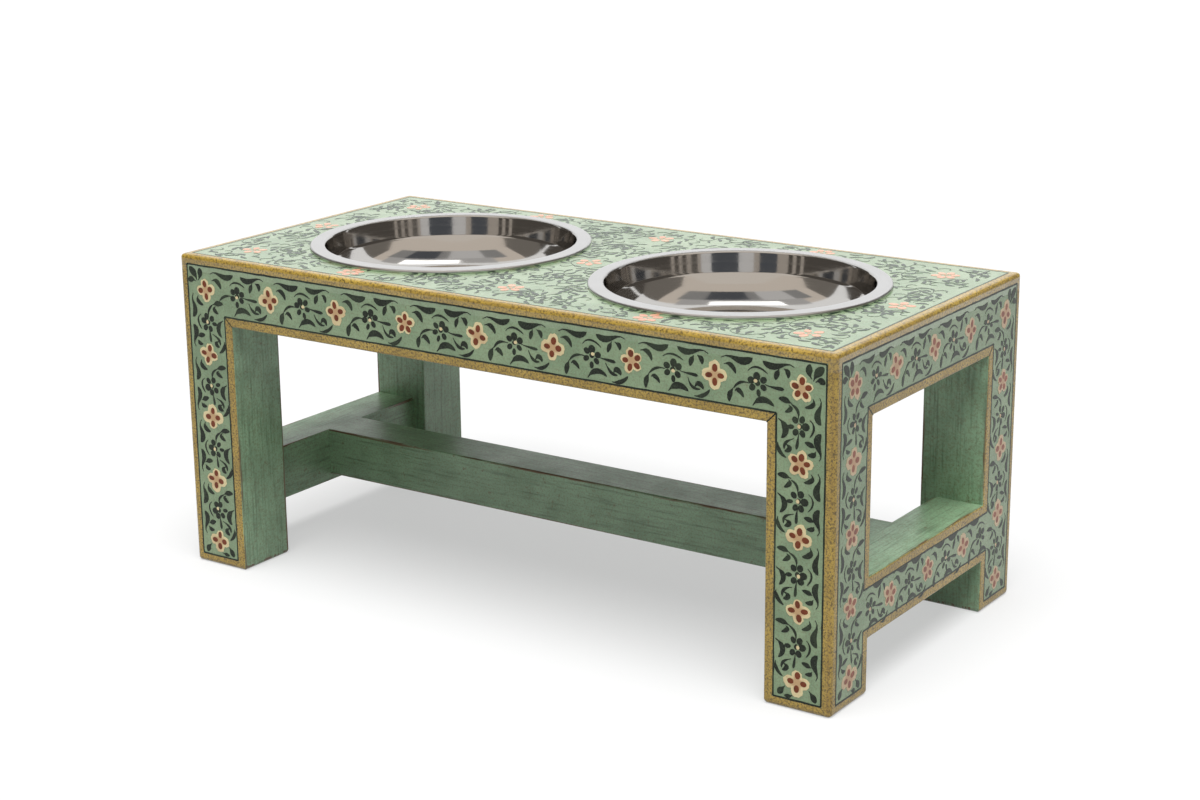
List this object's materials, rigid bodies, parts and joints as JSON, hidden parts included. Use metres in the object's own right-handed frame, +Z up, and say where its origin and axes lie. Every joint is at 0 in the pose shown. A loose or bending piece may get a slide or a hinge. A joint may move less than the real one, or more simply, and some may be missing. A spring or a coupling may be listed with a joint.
{
  "type": "dog bowl stand",
  "caption": "Raised timber dog bowl stand with square legs, aprons and stretchers under a painted board, carrying lift-out stainless steel bowls in round holes.",
  "frame": {"origin": "on the floor under the middle of the stand", "axes": "+X to the right along the length, +Y from the front to the back, +Z up"},
  "size_m": [0.56, 0.274, 0.2469],
  "materials": {
    "decorated_paint": "aged mint green paint with ochre borders and a floral vine",
    "plain_paint": "aged green paint, worn brown along the edges",
    "bare_wood": "unpainted",
    "bowl_steel": "polished inside, satin on the brim",
    "screw_steel": "zinc plated"
  },
  "bodies": {
    "stand": {"top_board": "decorated_paint", "front_left_leg": "decorated_paint", "front_right_leg": "decorated_paint", "back_left_leg": "decorated_paint", "back_right_leg": "decorated_paint", "front_apron": "decorated_paint", "back_apron": "decorated_paint", "left_apron": "decorated_paint", "right_apron": "decorated_paint", "left_stretcher": "decorated_paint", "right_stretcher": "decorated_paint", "centre_stretcher": "plain_paint", "front_cleat": "bare_wood", "back_cleat": "bare_wood", "left_cleat": "bare_wood", "right_cleat": "bare_wood", "front_apron_dowels": "bare_wood", "back_apron_dowels": "bare_wood", "left_apron_dowels": "bare_wood", "right_apron_dowels": "bare_wood", "left_stretcher_dowels": "bare_wood", "right_stretcher_dowels": "bare_wood", "centre_stretcher_dowels": "bare_wood", "apron_screws": "screw_steel", "board_screws": "screw_steel"},
    "left_bowl": {"left_bowl": "bowl_steel"},
    "right_bowl": {"right_bowl": "bowl_steel"}
  },
  "joints": [
    {"name": "left_bowl_lift", "type": "slide", "parent": "stand", "child": "left_bowl", "axis": [0, 0, 1], "range_m": [0, 0.1]},
    {"name": "right_bowl_lift", "type": "slide", "parent": "stand", "child": "right_bowl", "axis": [0, 0, 1], "range_m": [0, 0.1]}
  ]
}
